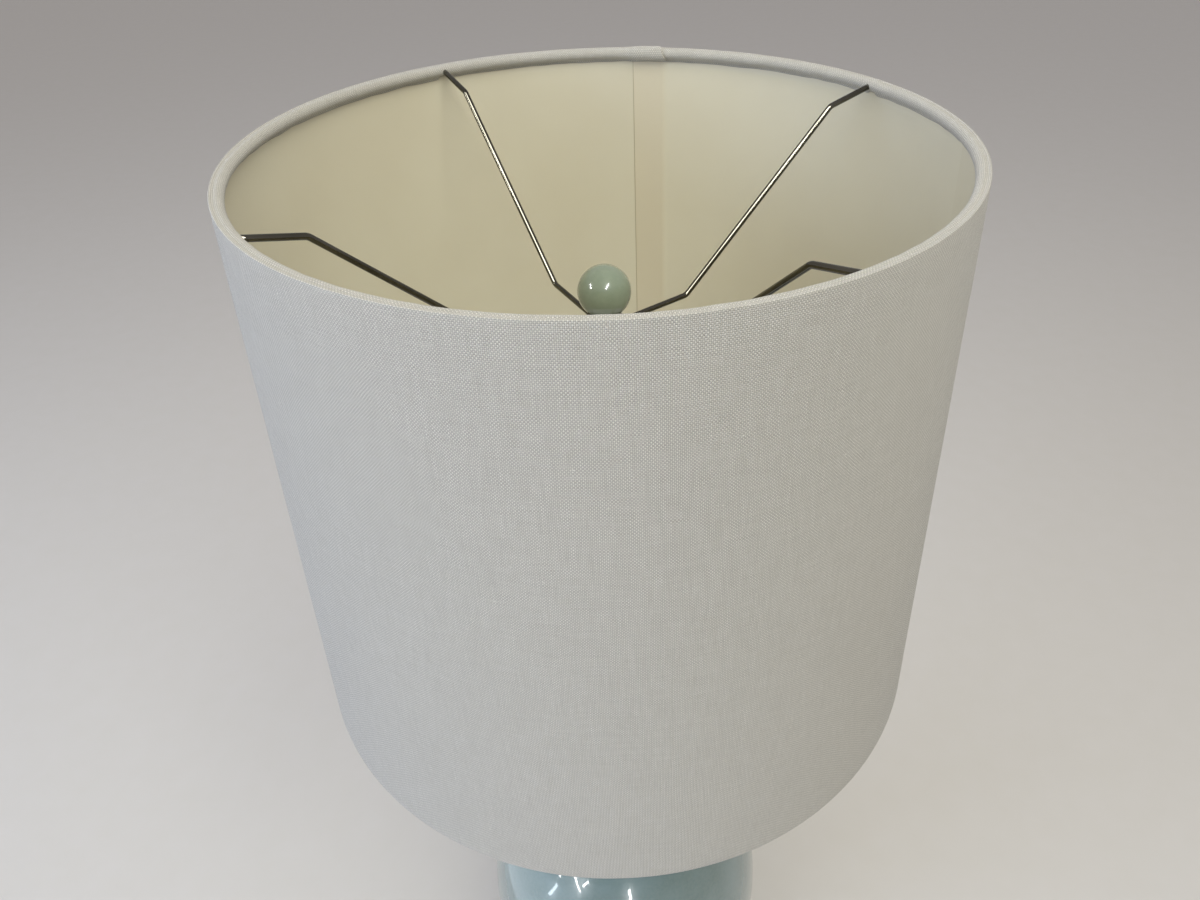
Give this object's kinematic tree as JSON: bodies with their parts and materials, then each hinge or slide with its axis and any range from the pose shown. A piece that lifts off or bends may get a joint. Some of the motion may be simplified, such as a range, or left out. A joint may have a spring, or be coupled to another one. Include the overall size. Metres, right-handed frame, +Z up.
{
  "type": "ginger jar table lamp",
  "caption": "Celadon ginger jar table lamp on a turned wooden base, with a linen drum shade on a spider and harp, ball finial and turn-knob socket.",
  "frame": {"origin": "centre of the felt pad's underside, on the table", "axes": "+Z up along the lamp's axis; -Y is the side the picture was taken from, +X its right; the cord inlet is at +Y"},
  "size_m": [0.3553, 0.3554, 0.79],
  "materials": {
    "felt": "pressed felt",
    "wood": "dark stained, satin lacquer",
    "black_nylon": "moulded",
    "cast_iron": "as cast",
    "zinc_steel": "zinc plated",
    "celadon_glaze": "blue-green celadon gloss glaze",
    "celadon_ball": "sage celadon gloss glaze",
    "black_rubber": "matte",
    "polished_nickel": "polished nickel plate",
    "card": "vulcanised fibre card",
    "black_phenolic": "moulded",
    "black_phenolic_knob": "moulded, fluted",
    "raw_brass": "bright",
    "linen": "off-white plain-weave linen look",
    "linen_trim": "off-white rolled self trim",
    "styrene": "ivory styrene, satin",
    "ring_wire": "white enamelled wire",
    "bulb_metal": "rolled thread",
    "black_glass": "insulator",
    "frosted_glass": "inside frosted"
  },
  "bodies": {
    "stand": {"felt_pad": "felt", "wood_base": "wood", "cord_bushing": "black_nylon", "base_weight": "cast_iron", "base_washer": "zinc_steel", "base_nut": "zinc_steel", "lamp_pipe": "zinc_steel", "jar_body": "celadon_glaze", "jar_lid": "celadon_glaze", "cap_gasket": "black_rubber", "vase_cap": "polished_nickel", "neck_spindle": "polished_nickel", "check_ring": "polished_nickel", "riser_tube": "polished_nickel", "harp_saddle": "polished_nickel", "harp_wire": "polished_nickel", "harp_stud": "polished_nickel", "socket_cap": "polished_nickel", "cap_screw": "zinc_steel", "socket_shell": "polished_nickel", "socket_liner": "card", "socket_core": "black_phenolic", "terminal_screws": "raw_brass", "screw_shell": "raw_brass", "centre_contact": "raw_brass"},
    "shade": {"shade_fabric": "linen", "shade_liner": "styrene", "top_trim": "linen_trim", "top_ring": "ring_wire", "bottom_ring": "ring_wire", "spider_hub": "polished_nickel", "spider_arm_back_left": "polished_nickel", "spider_arm_back_right": "polished_nickel", "spider_arm_front_left": "polished_nickel", "spider_arm_front_right": "polished_nickel"},
    "finial": {"finial_collar": "polished_nickel", "finial_ball": "celadon_ball"},
    "bulb": {"bulb_cap": "bulb_metal", "bulb_contact": "black_glass", "bulb_globe": "frosted_glass"},
    "switch": {"switch_shaft": "raw_brass", "switch_knob": "black_phenolic_knob"},
    "ferrule_left": {"ferrule_left": "polished_nickel"},
    "ferrule_right": {"ferrule_right": "polished_nickel"}
  },
  "joints": [
    {"name": "shade_swivel", "type": "hinge", "parent": "stand", "child": "shade", "pos_m": [0, 0, 0.6939], "axis": [0, 0, 1], "continuous": true},
    {"name": "finial_lift", "type": "slide", "parent": "stand", "child": "finial", "axis": [0, 0, 1], "range_m": [0, 0.1]},
    {"name": "switch_turn", "type": "hinge", "parent": "stand", "child": "switch", "pos_m": [0, -0.024, 0.5164], "axis": [0, -1, 0], "continuous": true},
    {"name": "bulb_turn", "type": "hinge", "parent": "stand", "child": "bulb", "pos_m": [0, 0, 0.53], "axis": [0, 0, 1], "continuous": true},
    {"name": "ferrule_left_lift", "type": "slide", "parent": "stand", "child": "ferrule_left", "axis": [0, 0, 1], "range_m": [0, 0.013]},
    {"name": "ferrule_right_lift", "type": "slide", "parent": "stand", "child": "ferrule_right", "axis": [0, 0, 1], "range_m": [0, 0.013]}
  ]
}
